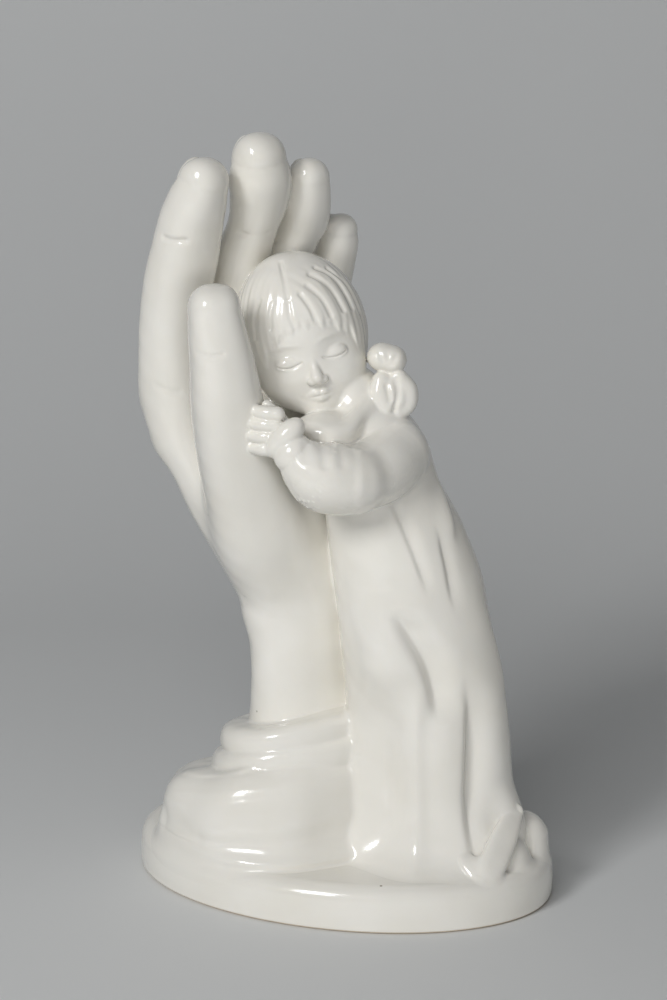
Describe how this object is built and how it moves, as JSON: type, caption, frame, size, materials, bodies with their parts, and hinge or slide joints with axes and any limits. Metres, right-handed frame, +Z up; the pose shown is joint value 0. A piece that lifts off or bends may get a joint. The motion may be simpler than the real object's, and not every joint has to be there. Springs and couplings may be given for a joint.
{
  "type": "ceramic hand sculpture",
  "caption": "Glazed ceramic ornament: an upright hand cupped round a standing child in a long gown, on an oval plinth.",
  "frame": {"origin": "middle of the plinth's flat underside", "axes": "+Z up along the hand; -Y is the front, the side the child's face looks to; +X is the side of the child's back"},
  "size_m": [0.1106, 0.089, 0.2],
  "materials": {
    "white_glaze": "high-gloss ivory-white glaze over a cast earthenware body, bare at the foot"
  },
  "bodies": {
    "root": {"plinth": "white_glaze", "forearm": "white_glaze", "palm": "white_glaze", "thumb": "white_glaze", "index_finger": "white_glaze", "middle_finger": "white_glaze", "ring_finger": "white_glaze", "little_finger": "white_glaze", "cuff_drape": "white_glaze", "cuff_fold": "white_glaze", "cuff_roll": "white_glaze", "gown_skirt": "white_glaze", "gown_bodice": "white_glaze", "hem_corner": "white_glaze", "foot": "white_glaze", "head": "white_glaze", "hair": "white_glaze", "hair_tie": "white_glaze", "hair_bunch": "white_glaze", "left_sleeve": "white_glaze", "left_hand": "white_glaze", "right_sleeve": "white_glaze", "right_hand": "white_glaze"}
  },
  "joints": []
}
